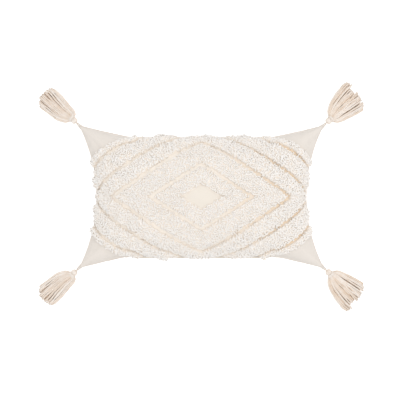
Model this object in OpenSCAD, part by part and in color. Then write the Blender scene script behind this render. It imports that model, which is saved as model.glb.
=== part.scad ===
// Lumbar throw pillow with a tufted diamond pattern and four corner tassels.
// It lies on its back: +Z is up through the tufted front, +X runs along the long side.
// The origin is on the floor under the middle of the pillow. Millimetres throughout.

/* [Cover] */
// Length between the corner tips of the stuffed cover
cover_l = 491; // [465:1:515]
// Width between the corner tips of the stuffed cover
cover_w = 287; // [270:1:300]
// Length across the middle, where the short sides pull in
waist_l = 422; // [405:1:440]
// Width across the middle, where the long sides pull in
waist_w = 240; // [230:1:250]
// Height of the front panel above the edge seam
rise_front = 64; // [58:1:70]
// Depth that the back panel would have below the edge seam if it hung free
rise_back = 64; // [62:1:70]
// Height of the edge seam above the floor, which flattens the back panel
seam_z = 56; // [50:1:58]
// Thickness of the canvas
canvas_t = 1.2; // [0.8:0.1:1.6]
// Cells of each panel along its length
cells_l = 26; // [20:2:28]
// Cells of each panel along its width
cells_w = 16; // [12:2:18]

/* [Tufting] */
// Height of the dense inner rings above the canvas
inner_pile = 5; // [3:0.5:7]
// Height of the shaggy outer bands above the canvas
outer_pile = 7; // [5:0.5:8]
// Width of the plain canvas line left between two bands, along the length
line_w = 8; // [5:1:12]
// Half length of the plain diamond in the middle
diamond_0 = 38; // [32:1:44]
// Half length of the first plain line around it
diamond_1 = 105; // [98:1:112]
// Half length of the second plain line
diamond_2 = 189; // [181:1:197]
// Half length of the third plain line
diamond_3 = 260; // [253:1:267]
// Half length of the fourth plain line, past the seams
diamond_4 = 336; // [328:1:340]
// Half length of the outer edge of the tufting, past the seams
diamond_5 = 362; // [352:1:392]
// Half width of a diamond for each millimetre of its half length
diamond_slope = 0.66; // [0.62:0.01:0.7]

/* [Insert] */
// Thickness of the insert's casing
casing_t = 0.8; // [0.6:0.1:1.2]
// Gap between the canvas and the insert at the middle of the pillow
insert_gap = 0.8; // [0.6:0.1:1.5]
// Gap between the edge seam and the insert's own edge
insert_inset = 10; // [9:1:14]

/* [Zip] */
// Length of the closed row of teeth
zip_l = 260; // [200:5:266]
// Distance from tooth to tooth on one side
tooth_pitch = 2.8; // [2.6:0.1:3.2]
// Length of the slider
slider_l = 9; // [8:0.5:11]
// Length of the pull tab past its eye
pull_l = 20; // [14:1:26]

/* [Tassels] */
// Bearing of a left tassel from the length of the pillow, in degrees
bearing_left = 44; // [38:1:48]
// Bearing of a right tassel
bearing_right = 41; // [36:1:46]
// Length of a left tassel, from its hanging loop's centre to the ends of the yarn
tassel_l_left = 97; // [86:1:102]
// Length of a right tassel, which fans out wider
tassel_l_right = 97; // [86:1:102]
// Width of the two left skirts at their ends
skirt_w_left = 48; // [40:1:60]
// Width of the two right skirts at their ends
skirt_w_right = 68; // [48:1:74]
// Thickness of a skirt lying on the floor
skirt_t = 22; // [16:1:26]
// Diameter of the hanging loop's cord
loop_cord = 1.6; // [1.2:0.1:1.8]
// Diameter of the head
head_d = 12; // [10:0.5:12]

/* [Hidden] */
SIDES_X = ["left", "right"];
SIDES_Y = ["bottom", "top"];
// The flat, unstuffed panel
flat_l = 500;
flat_w = 300;
tip_x = cover_l / 2;
tip_y = cover_w / 2;
pull_in_x = (cover_l - waist_l) / 2;
pull_in_y = (cover_w - waist_w) / 2;
seam_gap = 1.2;
// The long edges run straight over this part of their length, then flare to the tips
straight_part = 0.56;
long_flare = 1.1;
short_flare = 2;
// Stuffing spreads the middle of a panel by this much and crowds its edges
spread_gain = 0.18;
crown_power = 0.6;
// Tufting stops this far inside the seams
tuft_margin = 4;
yarn_root = 0.4;
// Colours
canvas_colour = "#ece3db";
tuft_colour = "#f4ede4";
yarn_colour = "#efe4d6";
casing_colour = "#f7f6f3";
nylon_colour = "#efe9df";
metal_colour = "#b9b6ae";

// ---- Form of the stuffed cover -------------------------------------------------------------

// Half width of the outline at a fraction along the other direction
function edge_x(q) = tip_x - pull_in_x * (1 - pow(abs(q), short_flare));
function edge_y(p) =
    tip_y - pull_in_y * (1 - pow(max(0, (abs(p) - straight_part) / (1 - straight_part)), long_flare));

// Where a flat fraction p lies between the middle and the edge once the cover is stuffed
function spread(p, q) = p * (1 + spread_gain * (1 - pow(abs(p), 3)) * (1 - q * q));

// Height of the crown, from 0 at the seams to 1 in the middle
function crown(p, q) =
    pow(max(0, 1 - pow(abs(spread(p, q)), 3)), crown_power)
    * pow(max(0, 1 - pow(spread(q, p), 2)), crown_power);

// A point of the front or back surface, drawn in by inset at the seams and by depth at the crown
function front_point(p, q, inset = 0, depth = 0) = [
    edge_x(q) * spread(p, q) * (1 - inset / tip_x),
    edge_y(p) * spread(q, p) * (1 - inset / tip_y),
    seam_z + seam_gap / 2 + (rise_front - depth) * crown(p, q)
];
function back_point(p, q, inset = 0, depth = 0) = [
    edge_x(q) * spread(p, q) * (1 - inset / tip_x),
    edge_y(p) * spread(q, p) * (1 - inset / tip_y),
    seam_z - seam_gap / 2
        - min(rise_back * crown(p, q), seam_z - seam_gap / 2) * (1 - depth / (seam_z - seam_gap / 2))
];

// Fractions from -1 to 1, closer together towards the seams
function cell_line(i, cells) = let (x = 2 * i / cells - 1) x * (1.25 - 0.25 * x * x);

function surface_grid(front, inset, depth) = [
    for (j = [0:cells_w], i = [0:cells_l])
        let (p = cell_line(i, cells_l), q = cell_line(j, cells_w))
        front ? front_point(p, q, inset, depth) : back_point(p, q, inset, depth)
];

// Two triangles for each cell of a grid that is row long, starting at point first. Each cell is split
// along the diagonal towards its own corner, so that no triangle lies flat in the seam's plane
function grid_faces(row, cols, rows, first, flip) = [
    for (j = [0:rows - 1], i = [0:cols - 1])
        let (
            a = first + j * row + i,
            b = a + 1,
            c = a + row + 1,
            d = a + row,
            same_side = (i < cols / 2) == (j < rows / 2),
            halves = same_side ? [[a, b, c], [a, c, d]] : [[a, b, d], [b, c, d]]
        )
        each [for (half = halves) flip ? half : [half[2], half[1], half[0]]]
];

// The rim of a grid as a list of point numbers, once round
function rim_loop(row, cols, rows) = concat(
    [for (i = [0:cols - 1]) i],
    [for (j = [0:rows - 1]) j * row + cols],
    [for (i = [0:cols - 1]) rows * row + cols - i],
    [for (j = [0:rows - 1]) (rows - j) * row]
);

function rim_faces(loop, shift, flip) = [
    for (k = [0:len(loop) - 1], half = [0, 1])
        let (a = loop[k], b = loop[(k + 1) % len(loop)], c = b + shift, d = a + shift)
        half == 0 ? (flip ? [c, b, a] : [a, b, c]) : (flip ? [d, c, a] : [a, c, d])
];

// A curved sheet between two depths under the front or back surface, open at the seam's plane
module sheet(front, inset, depth, thickness) {
    row = cells_l + 1;
    count = row * (cells_w + 1);
    polyhedron(
        points = concat(
            surface_grid(front, inset, depth),
            surface_grid(front, inset + thickness, depth + thickness)
        ),
        faces = concat(
            grid_faces(row, cells_l, cells_w, 0, !front),
            grid_faces(row, cells_l, cells_w, count, front),
            rim_faces(rim_loop(row, cells_l, cells_w), count, !front)
        )
    );
}

module front_panel() {
    color(canvas_colour) sheet(true, 0, 0, canvas_t);
}

module back_panel() {
    color(canvas_colour) sheet(false, 0, 0, canvas_t);
}

module insert_front() {
    color(casing_colour) sheet(true, insert_inset, canvas_t + insert_gap, casing_t);
}

module insert_back() {
    color(casing_colour) sheet(false, insert_inset, canvas_t + insert_gap, casing_t);
}

// The loose fibre inside the casing, one closed body from front to back
module fibre_fill() {
    row = cells_l + 1;
    count = row * (cells_w + 1);
    inset = insert_inset + casing_t + insert_gap;
    depth = canvas_t + insert_gap + casing_t + insert_gap;
    color("white") polyhedron(
        points = concat(surface_grid(true, inset, depth), surface_grid(false, inset, depth)),
        faces = concat(
            grid_faces(row, cells_l, cells_w, 0, false),
            grid_faces(row, cells_l, cells_w, count, true),
            rim_faces(rim_loop(row, cells_l, cells_w), count, false)
        )
    );
}

// ---- Edge seam -----------------------------------------------------------------------------

seam_w = 8;
seam_t = 1;
seam_inset = 0.4;
// The zip's opening, as a fraction of the half length
seam_start = 0.6;
end_steps = 4;
seam_steps = 12;

// Fractions along the outline, from one end of the zip round the pillow to the other end
function seam_route() = concat(
    [for (i = [0:end_steps - 1]) [-seam_start - (1 - seam_start) * i / end_steps, -1]],
    [for (i = [0:seam_steps - 1]) [-1, -1 + 2 * i / seam_steps]],
    [for (i = [0:seam_steps - 1]) [-1 + 2 * i / seam_steps, 1]],
    [for (i = [0:seam_steps - 1]) [1, 1 - 2 * i / seam_steps]],
    [for (i = [0:end_steps]) [1 - (1 - seam_start) * i / end_steps, -1]]
);

function outline_point(pq, inset, z) = [
    edge_x(pq[1]) * pq[0] * (1 - inset / tip_x),
    edge_y(pq[0]) * pq[1] * (1 - inset / tip_y),
    z
];

// Faces of a tube of closed sections, each with sides points, capped at its ends unless it is a ring
function tube_faces(stations, sides, ring) = concat(
    [for (i = [0:stations - (ring ? 1 : 2)], j = [0:sides - 1], half = [0, 1])
        let (
            next = ((i + 1) % stations) * sides,
            a = i * sides + j,
            b = i * sides + (j + 1) % sides,
            c = next + (j + 1) % sides,
            d = next + j
        )
        half == 0 ? [a, b, c] : [a, c, d]],
    ring ? [] : [
        [for (j = [sides - 1:-1:0]) j],
        [for (j = [0:sides - 1]) (stations - 1) * sides + j]
    ]
);

// The stitched seam allowance, a flat strip between the two panels, with the zip in its opening
module edge_seam() {
    route = seam_route();
    color(canvas_colour) polyhedron(
        points = [for (pq = route) each [
            outline_point(pq, seam_inset, seam_z - seam_t / 2),
            outline_point(pq, seam_inset, seam_z + seam_t / 2),
            outline_point(pq, seam_inset + seam_w, seam_z + seam_t / 2),
            outline_point(pq, seam_inset + seam_w, seam_z - seam_t / 2)
        ]],
        faces = tube_faces(len(route), 4, false)
    );
}

// ---- Tufting -------------------------------------------------------------------------------

// The front surface at flat coordinates, raised along its own normal
function raised_point(u, v, height) =
    let (
        p = u * 2 / flat_l,
        q = v * 2 / flat_w,
        step = 0.004,
        here = front_point(p, q),
        along = front_point(p + step, q) - front_point(p - step, q),
        across = front_point(p, q + step) - front_point(p, q - step),
        normal = cross(along, across)
    )
    here + normal / norm(normal) * height;

// How far a ray of the diamond pattern runs before it meets the edge of the tufting
function tuft_limit(t) = min(
    (flat_l / 2 - tuft_margin) / max(1 - t, 0.001),
    (flat_w / 2 - tuft_margin) / diamond_slope / max(t, 0.001)
);

// Across a band: fractions of its width and of its pile height
BAND_PROFILE = [[0, 0.4], [0.14, 0.95], [0.38, 1], [0.62, 1], [0.86, 0.95], [1, 0.4]];

// One section across a band on the ray t of the quadrant with the signs sx and sy
function band_section(inner, outer, pile, t, sx, sy) =
    let (
        far = min(outer, tuft_limit(t)),
        spot = function(w, height) let (a = inner + (far - inner) * w)
            raised_point(sx * a * (1 - t), sy * a * diamond_slope * t, height)
    )
    concat(
        [for (k = BAND_PROFILE) spot(k[0], pile * k[1])],
        [for (k = [len(BAND_PROFILE) - 1:-1:0]) spot(BAND_PROFILE[k][0], -yarn_root)]
    );

// A full diamond ring of tufting
module tuft_ring(inner, outer, pile, steps) {
    quarter = [for (i = [0:steps - 1]) i / steps];
    sections = concat(
        [for (t = quarter) band_section(inner, outer, pile, t, 1, 1)],
        [for (t = quarter) band_section(inner, outer, pile, 1 - t, -1, 1)],
        [for (t = quarter) band_section(inner, outer, pile, t, -1, -1)],
        [for (t = quarter) band_section(inner, outer, pile, 1 - t, 1, -1)]
    );
    color(tuft_colour) polyhedron(
        points = [for (section = sections) each section],
        faces = tube_faces(len(sections), 2 * len(BAND_PROFILE), true)
    );
}

// A diagonal band across one corner, which runs out at the seams
module tuft_band(inner, outer, pile, sx, sy) {
    steps = 8;
    end_w = 8;
    first = 1 - (flat_l / 2 - tuft_margin) / (inner + end_w);
    last = (flat_w / 2 - tuft_margin) / diamond_slope / (inner + end_w);
    turn = sx * sy > 0;
    sections = [for (i = [0:steps])
        band_section(inner, outer, pile, first + (last - first) * (turn ? i : steps - i) / steps, sx, sy)];
    color(tuft_colour) polyhedron(
        points = [for (section = sections) each section],
        faces = tube_faces(len(sections), 2 * len(BAND_PROFILE), false)
    );
}

module tuft_band_4(sx, sy) {
    tuft_band(diamond_3, diamond_4 - line_w, outer_pile, sx, sy);
}

module tuft_band_5(sx, sy) {
    tuft_band(diamond_4, diamond_5, outer_pile, sx, sy);
}

// ---- Zip -----------------------------------------------------------------------------------

zip_y = -waist_w / 2;
tape_t = 0.5;
tape_lift = 0.05;
tape_w = 7;
tape_extra = 10;
chain_back = 1.2;
chain_depth = 2.2;
tooth_w = 1.1;
tooth_reach = 0.7;
cord_low = 0.8;
cord_high = 1.6;
stop_l = 2.4;
stop_gap = 0.2;
stop_over = 0.3;
wall = 0.9;
// Room inside the slider in front of the chain, and between its back and the tapes
chain_room = 0.6;
back_room = 0.1;
// How far the slider rests from the end of the chain, and its pin stands off its body
slider_margin = 1.5;
pin_off = 1.5;
ear_root = 0.2;
slot_h = 1.5;
channel_h = 2 * cord_high + 1;
slider_back = 0.7;
slider_front = chain_back + chain_depth + chain_room + wall;
slider_rest = zip_l / 2 - slider_l / 2 - slider_margin;
pin_r = 0.6;
pin_clearance = 0.08;
pull_w = 2.8;
ear_t = 0.8;
ear_gap = 0.15;
pin_y = zip_y - slider_front - pin_off;

// Half of the zip's tape, lying against its panel's seam allowance
module zip_tape(side) {
    low = side > 0 ? tape_lift : -tape_lift - tape_t;
    color(nylon_colour)
        translate([-zip_l / 2 - tape_extra, zip_y - chain_back, seam_z + low])
            cube([zip_l + 2 * tape_extra, chain_back + tape_w, tape_t]);
}

// One row of teeth on its cord, as a comb that meshes with the other row
module zip_teeth(side) {
    count = floor(zip_l / tooth_pitch) - 1;
    start = -zip_l / 2 + (side > 0 ? 0 : tooth_pitch / 2);
    comb = concat(
        [[-zip_l / 2, cord_high], [-zip_l / 2, cord_low]],
        [for (i = [0:count - 1]) let (x = start + (i + 0.5) * tooth_pitch - tooth_w / 2) each [
            [x, cord_low], [x, -tooth_reach], [x + tooth_w, -tooth_reach], [x + tooth_w, cord_low]
        ]],
        [[zip_l / 2, cord_low], [zip_l / 2, cord_high]]
    );
    color(nylon_colour)
        translate([0, zip_y - chain_back, seam_z])
            mirror([0, 0, side > 0 ? 0 : 1])
                rotate([90, 0, 0])
                    linear_extrude(chain_depth) polygon(comb);
}

// A metal stop clipped round the end of the chain
module zip_stop(end) {
    color(metal_colour)
        translate([end * (zip_l / 2 + stop_gap + stop_l / 2), zip_y - chain_back - chain_depth / 2, seam_z])
            cube([stop_l, chain_depth, 2 * (cord_high + stop_over)], center = true);
}

// Section of the slider: a channel round the chain that opens towards the tapes
module slider_section() {
    difference() {
        translate([-slider_front, -channel_h / 2 - wall])
            square([slider_front - slider_back, channel_h + 2 * wall]);
        translate([-slider_front + wall, -channel_h / 2])
            square([slider_front - wall - chain_back + back_room, channel_h]);
        translate([-slider_front + wall, -slot_h / 2]) square([slider_front, slot_h]);
    }
}

module zip_slider() {
    color(metal_colour) {
        translate([slider_rest - slider_l / 2, zip_y, seam_z])
            rotate([90, 0, 90]) linear_extrude(slider_l) slider_section();
        for (side = [-1, 1])
            translate([slider_rest, 0, seam_z + side * (pull_w / 2 + ear_gap + ear_t / 2)])
                slider_ear();
        translate([slider_rest, pin_y, seam_z])
            cylinder(r = pin_r, h = pull_w + 2 * ear_gap + ear_t, center = true, $fn = 32);
    }
}

// One of the two ears that carry the pull tab's pin
module slider_ear() {
    ear_r = 1.2;
    translate([0, pin_y, 0]) cylinder(r = ear_r, h = ear_t, center = true, $fn = 32);
    translate([-ear_r, pin_y, -ear_t / 2])
        cube([2 * ear_r, pin_off + ear_root, ear_t]);
}

module zip_pull() {
    tab_t = 1.2;
    tab_w = 5;
    neck = 3;
    boss_r = 1.3;
    hole_r = 1.4;
    color(metal_colour)
        translate([slider_rest, pin_y, seam_z])
            difference() {
                union() {
                    cylinder(r = boss_r, h = pull_w, center = true, $fn = 32);
                    translate([0, -tab_t / 2, -pull_w / 2]) cube([neck + 1, tab_t, pull_w]);
                    translate([neck, -tab_t / 2, -tab_w / 2]) cube([pull_l - neck, tab_t, tab_w]);
                }
                cylinder(r = pin_r + pin_clearance, h = pull_w + 1, center = true, $fn = 32);
                translate([pull_l - 4, 0, 0])
                    rotate([90, 0, 0]) cylinder(r = hole_r, h = tab_t + 1, center = true, $fn = 32);
            }
}

// ---- Tassels -------------------------------------------------------------------------------

cord_r = loop_cord / 2;
loop_r = 3.2;
eye_r = 2;
eye_bore = 1.2;
eye_h = 1.8;
eye_offset = eye_r + 0.3;
head_at = 7.1;
head_end = head_at + 4.4;
binding_l = 4;
binding_gap = 0.3;
neck_r = 5.6;
binding_r = 7.4;
skirt_start = head_end + binding_gap;
shoulder_at = skirt_start + binding_l + 2 * binding_gap;
skirt_sides = 20;
skirt_stations = 8;
floor_gap = 0.5;
// The shoulder's half width and half thickness where it leaves the binding
shoulder_w = 8.1;
shoulder_t = 7.6;
// How fast a skirt swells: a smaller power is a squarer shoulder
swell_left = 0.3;
swell_right = 0.5;
swell_t = 0.55;
// The rounded end of a skirt: fractions of its length, its width and its thickness
end_l = 14;
ROUNDED_END = [[0.45, 0.93, 0.95], [0.8, 0.74, 0.85], [1, 0.42, 0.6]];
// How much further the outer side of a right skirt reaches
slant_right = 5;

function bearing(sx) = sx < 0 ? bearing_left : bearing_right;
function tassel_length(sx) = sx < 0 ? tassel_l_left : tassel_l_right;
// Slope of a tassel that leans from the corner down to the floor
function tassel_slope(sx) = asin((seam_z - skirt_t / 2 - floor_gap) / tassel_length(sx));

// Puts a piece at a corner with its own +X pointing outwards
module at_corner(sx, sy) {
    reach = [eye_offset * cos(bearing(sx)), eye_offset * sin(bearing(sx))];
    translate([sx * (tip_x + reach[0]), sy * (tip_y + reach[1]), seam_z])
        rotate([0, 0, atan2(sy * sin(bearing(sx)), sx * cos(bearing(sx)))])
            children();
}

// Puts a piece of the tassel on the hanging loop, with its own +X running down the slope
module on_loop(sx, sy) {
    at_corner(sx, sy) translate([loop_r, 0, 0]) rotate([0, tassel_slope(sx), 0]) children();
}

// The stitched eye at the corner that holds the hanging loop
module corner_eye(sx, sy) {
    color(canvas_colour) at_corner(sx, sy)
        difference() {
            cylinder(r = eye_r, h = eye_h, center = true, $fn = 48);
            cylinder(r = eye_bore, h = eye_h + 1, center = true, $fn = 48);
        }
}

// The ring of cord that runs through the eye and through the head
module loop_ring(cord) {
    rotate([90, 0, 0])
        rotate_extrude($fn = 64) translate([loop_r, 0]) circle(r = cord, $fn = 32);
}

module hanging_loop(sx, sy) {
    color(yarn_colour) at_corner(sx, sy) translate([loop_r, 0, 0]) loop_ring(cord_r);
}

// The knotted head: a ball with a flat end, and a tunnel for the hanging loop
module tassel_head(sx, sy) {
    tunnel_gap = 0.3;
    color(yarn_colour) on_loop(sx, sy)
        difference() {
            translate([head_at, 0, 0]) rotate([0, 90, 0])
                rotate_extrude($fn = 64)
                    intersection() {
                        circle(d = head_d, $fn = 64);
                        translate([0, -head_d]) square([head_d, head_d + head_end - head_at]);
                    }
            loop_ring(cord_r + tunnel_gap);
        }
}

// The cord wound round the neck
module tassel_binding(sx, sy) {
    color(yarn_colour) on_loop(sx, sy)
        translate([skirt_start + binding_gap, 0, 0]) rotate([0, 90, 0])
            difference() {
                cylinder(r = binding_r, h = binding_l, $fn = 64);
                translate([0, 0, -1]) cylinder(r = neck_r + 0.1, h = binding_l + 2, $fn = 64);
            }
}

// An oval section of the skirt, square to its length but for its slant
function oval(x, half_w, half_t, slant = 0) = [
    for (k = [0:skirt_sides - 1])
        let (side = cos(360 * k / skirt_sides))
        [x + slant * side, half_w * side, half_t * sin(360 * k / skirt_sides)]
];

// Sections from the neck out over the shoulder to the cut ends of the yarn
function skirt_sections(width, length, power, slant) =
    let (start = shoulder_at + 0.4, body_l = length - end_l - start)
    concat(
        [oval(skirt_start, neck_r, neck_r), oval(shoulder_at, neck_r, neck_r)],
        [for (i = [0:skirt_stations])
            let (
                x = i / skirt_stations,
                half_w = shoulder_w + (width / 2 - shoulder_w) * pow(x, power),
                half_t = shoulder_t + (skirt_t / 2 - shoulder_t) * pow(x, swell_t)
            )
            oval(start + body_l * x, half_w, half_t, slant * x)],
        [for (k = ROUNDED_END)
            oval(length - end_l * (1 - k[0]), width / 2 * k[1], skirt_t / 2 * k[2], slant * k[1])]
    );

module tassel_skirt(sx, sy) {
    sections = skirt_sections(
        sx < 0 ? skirt_w_left : skirt_w_right,
        tassel_length(sx),
        sx < 0 ? swell_left : swell_right,
        sx < 0 ? 0 : slant_right * sy
    );
    color(yarn_colour) on_loop(sx, sy)
        polyhedron(
            points = [for (section = sections) each section],
            faces = tube_faces(len(sections), skirt_sides, false)
        );
}

// ---- Nodes ---------------------------------------------------------------------------------

front_panel();
back_panel();
edge_seam();
insert_front();
insert_back();
fibre_fill();
tuft_ring(diamond_0, diamond_1 - line_w, inner_pile, 4);  // tuft_ring_1
tuft_ring(diamond_1, diamond_2 - line_w, inner_pile, 7);  // tuft_ring_2
tuft_ring(diamond_2, diamond_3 - line_w, outer_pile, 9);  // tuft_ring_3
zip_tape(1);  // zip_tape_front
zip_tape(-1);  // zip_tape_back
zip_teeth(1);  // zip_teeth_front
zip_teeth(-1);  // zip_teeth_back
zip_stop(1);  // zip_top_stop
zip_stop(-1);  // zip_bottom_stop
zip_slider();
zip_pull();
for (iy = [0, 1], ix = [0, 1]) {
    sx = 2 * ix - 1;
    sy = 2 * iy - 1;
    corner = str("_", SIDES_Y[iy], "_", SIDES_X[ix]);
    tuft_band_4(sx, sy);
    tuft_band_5(sx, sy);
    corner_eye(sx, sy);
    hanging_loop(sx, sy);
    tassel_head(sx, sy);
    tassel_binding(sx, sy);
    tassel_skirt(sx, sy);
}
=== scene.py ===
# Looks of a lumbar pillow with a tufted diamond pattern and four corner tassels, round its CAD frame.
# Metres throughout, in the CAD's own frame: +Z is up through the tufted front, +X runs along the length.
import math

import bpy
import numpy as np
from mathutils import Matrix, Vector


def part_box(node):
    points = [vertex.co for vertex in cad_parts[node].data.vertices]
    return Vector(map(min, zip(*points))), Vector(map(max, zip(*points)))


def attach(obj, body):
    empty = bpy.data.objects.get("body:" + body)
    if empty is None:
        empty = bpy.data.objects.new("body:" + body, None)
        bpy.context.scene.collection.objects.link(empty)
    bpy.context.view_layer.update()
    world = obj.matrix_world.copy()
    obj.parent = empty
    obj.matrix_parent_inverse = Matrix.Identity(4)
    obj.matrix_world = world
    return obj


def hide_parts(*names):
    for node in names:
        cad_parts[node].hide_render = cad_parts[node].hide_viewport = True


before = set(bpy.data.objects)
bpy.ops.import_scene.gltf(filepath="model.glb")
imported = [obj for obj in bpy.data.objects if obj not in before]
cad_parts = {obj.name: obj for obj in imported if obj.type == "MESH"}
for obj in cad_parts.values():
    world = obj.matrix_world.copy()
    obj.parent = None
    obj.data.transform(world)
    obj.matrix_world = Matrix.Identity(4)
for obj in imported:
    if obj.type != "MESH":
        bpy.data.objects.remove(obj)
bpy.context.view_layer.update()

SIDES_X = {"left": -1, "right": 1}
SIDES_Y = {"bottom": -1, "top": 1}

# ---- Form of the stuffed cover, as the CAD has it ----------------------------------------------

FLAT_L = 0.5
FLAT_W = 0.3
SEAM_GAP = 0.0012
TIP_X, TIP_Y, CROWN_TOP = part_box("front_panel")[1]
SEAM_Z = sum(corner.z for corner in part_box("edge_seam")) / 2
RISE = CROWN_TOP - SEAM_Z - SEAM_GAP / 2
WAIST_X = 0.211
WAIST_Y = 0.120
STRAIGHT_PART = 0.56
LONG_FLARE = 1.1
SHORT_FLARE = 2.0
SPREAD_GAIN = 0.18
CROWN_POWER = 0.6
# The cloth's lowest point, just clear of the floor
LOWEST = 0.0003
CANVAS_T = 0.0012
CASING_T = 0.0008
INSERT_GAP = 0.0008
INSERT_INSET = 0.010
FIBRE_LUMP = 0.003
FIBRE_LUMP_CELL = 0.022

# The pattern of diamonds on the flat front: half lengths, and the half width for each half length
DIAMONDS = [0.038, 0.105, 0.189, 0.260, 0.336, 0.362]
DIAMOND_SLOPE = 0.66
# Bare canvas between the tufting and the seams
TUFT_MARGIN = 0.004
# Where the bare lines' painted light starts to turn to the painted shade of the right end, and how fast it
# does for each metre
SHADE_TINT_START = 0.03
SHADE_TINT_GAIN = 6.0

CLOTH_CELLS = (100, 60)
FINE_CELLS = (200, 120)
CLOTH_FRAMES = 20
CLOTH_SWELL = 0.92
CLOTH_CAP = 0.012
FOLD_BLUR = 60


def edge_x(q):
    """Half length of the outline at fraction q across the width."""
    return TIP_X - (TIP_X - WAIST_X) * (1 - np.abs(q) ** SHORT_FLARE)


def edge_y(p):
    """Half width of the outline at fraction p along the length."""
    flare = np.maximum(0, (np.abs(p) - STRAIGHT_PART) / (1 - STRAIGHT_PART))
    return TIP_Y - (TIP_Y - WAIST_Y) * (1 - flare ** LONG_FLARE)


def spread(p, q):
    """Where the flat fraction p lies between the middle and the edge once the cover is stuffed."""
    return p * (1 + SPREAD_GAIN * (1 - np.abs(p) ** 3) * (1 - q * q))


def crown(p, q):
    """Height of the crown, from 0 at the seams to 1 in the middle."""
    along = np.maximum(0, 1 - np.abs(spread(p, q)) ** 3)
    across = np.maximum(0, 1 - spread(q, p) ** 2)
    return (along * across) ** CROWN_POWER


def plain_form(front, p, q, inset=0.0, depth=0.0):
    """Points of the smooth front or back, drawn in by inset at the seams and by depth at the crown."""
    x = edge_x(q) * spread(p, q) * (1 - inset / TIP_X)
    y = edge_y(p) * spread(q, p) * (1 - inset / TIP_Y)
    if front:
        z = SEAM_Z + SEAM_GAP / 2 + (RISE - depth) * crown(p, q)
    else:
        room = SEAM_Z - SEAM_GAP / 2
        z = room - np.minimum(RISE * crown(p, q), room) * (1 - depth / room)
    return np.stack([x, y, z], -1)


def cell_lines(cells):
    """Fractions from -1 to 1, closer together towards the seams."""
    x = np.linspace(-1, 1, cells + 1)
    return x * (1.25 - 0.25 * x * x)


def cell_grid(cells):
    return np.meshgrid(cell_lines(cells[0]), cell_lines(cells[1]), indexing="ij")


# ---- Small helpers for arrays ------------------------------------------------------------------

NOISE_CELLS = 64


def unit(vectors):
    return vectors / np.maximum(np.linalg.norm(vectors, axis=-1, keepdims=True), 1e-12)


def value_noise(x, y, cell, seed):
    """Smooth noise from -1 to 1, with one random value for each square cell."""
    lattice = np.random.default_rng(seed).uniform(-1, 1, (NOISE_CELLS, NOISE_CELLS))
    fx, fy = np.asarray(x) / cell + NOISE_CELLS / 2, np.asarray(y) / cell + NOISE_CELLS / 2
    i, j = np.floor(fx).astype(int), np.floor(fy).astype(int)
    s, t = fx - i, fy - j
    s, t = s * s * (3 - 2 * s), t * t * (3 - 2 * t)
    corner = lambda a, b: lattice[(i + a) % NOISE_CELLS, (j + b) % NOISE_CELLS]
    low = corner(0, 0) * (1 - s) + corner(1, 0) * s
    high = corner(0, 1) * (1 - s) + corner(1, 1) * s
    return low * (1 - t) + high * t


def blur(grid, times):
    """Softens a grid of vectors along both directions."""
    for _ in range(times):
        for axis in (0, 1):
            wide = np.pad(grid, [(1, 1) if a == axis else (0, 0) for a in range(grid.ndim)], "edge")
            length = grid.shape[axis]
            before, after = (np.take(wide, range(k, k + length), axis) for k in (0, 2))
            grid = (before + 2 * grid + after) / 4
    return grid


def upsample(grid, axis):
    """Puts a smooth midpoint between every two rows of a grid."""
    rows = np.moveaxis(grid, axis, 0)
    wide = np.concatenate([2 * rows[:1] - rows[1:2], rows, 2 * rows[-1:] - rows[-2:-1]])
    out = np.empty((2 * len(rows) - 1,) + rows.shape[1:])
    out[::2] = rows
    out[1::2] = (9 * (wide[1:-2] + wide[2:-1]) - wide[:-3] - wide[3:]) / 16
    return np.moveaxis(out, 0, axis)


def grid_normals(grid):
    return unit(np.cross(np.gradient(grid, axis=0), np.gradient(grid, axis=1)))


# ---- Meshes ------------------------------------------------------------------------------------

# UVs from here on along U are plain cloth, with none of the front's pattern
PLAIN_AT = 1.0


def new_object(name, points, faces, uv=None, rise=None):
    """A smooth-shaded mesh object, with UVs for each face corner and the height in the pile, which sets how
    much painted shade the yarn gets.
    """
    mesh = bpy.data.meshes.new(name)
    mesh.from_pydata(np.asarray(points).reshape(-1, 3).tolist(), [], faces)
    if uv is not None:
        layer = mesh.uv_layers.new(name="thread")
        layer.uv.foreach_set("vector", np.asarray(uv, np.float32).ravel())
    if rise is not None:
        layer = mesh.attributes.new("rise", "FLOAT", "POINT")
        layer.data.foreach_set("value", np.asarray(rise, np.float32).ravel())
    mesh.shade_smooth()
    mesh.update()
    obj = bpy.data.objects.new(name, mesh)
    bpy.context.scene.collection.objects.link(obj)
    return obj


def join(name, objects):
    """One object from several."""
    with bpy.context.temp_override(active_object=objects[0], selected_editable_objects=objects):
        bpy.ops.object.join()
    objects[0].name = objects[0].data.name = name
    return objects[0]


def grid_quads(index, flip):
    quads = np.stack([index[:-1, :-1], index[1:, :-1], index[1:, 1:], index[:-1, 1:]], -1).reshape(-1, 4)
    return quads[:, ::-1] if flip else quads


def rim(index):
    """The numbers round a grid's edge, once."""
    return np.concatenate([index[:-1, 0], index[-1, :-1], index[:0:-1, -1], index[0, :0:-1]])


def shell(name, p, q, outer, inner, flip):
    """A closed sheet between two grids of points, with its flat pattern in metres as UVs. A back is flipped,
    and its UVs lie clear of the front's pattern."""
    index = np.arange(p.size).reshape(p.shape)
    edge = rim(index)
    following = np.roll(edge, -1)
    sides = np.stack([edge, edge + p.size, following + p.size, following], -1)
    faces = np.concatenate([
        grid_quads(index, flip),
        grid_quads(index + p.size, not flip),
        sides if flip else sides[:, ::-1],
    ])
    flat = np.stack([p * FLAT_L / 2, q * FLAT_W / 2], -1).reshape(-1, 2) + [PLAIN_AT if flip else 0, 0]
    uv = np.concatenate([flat, flat])[faces]
    return new_object(name, np.concatenate([outer.reshape(-1, 3), inner.reshape(-1, 3)]), faces.tolist(), uv)


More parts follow.
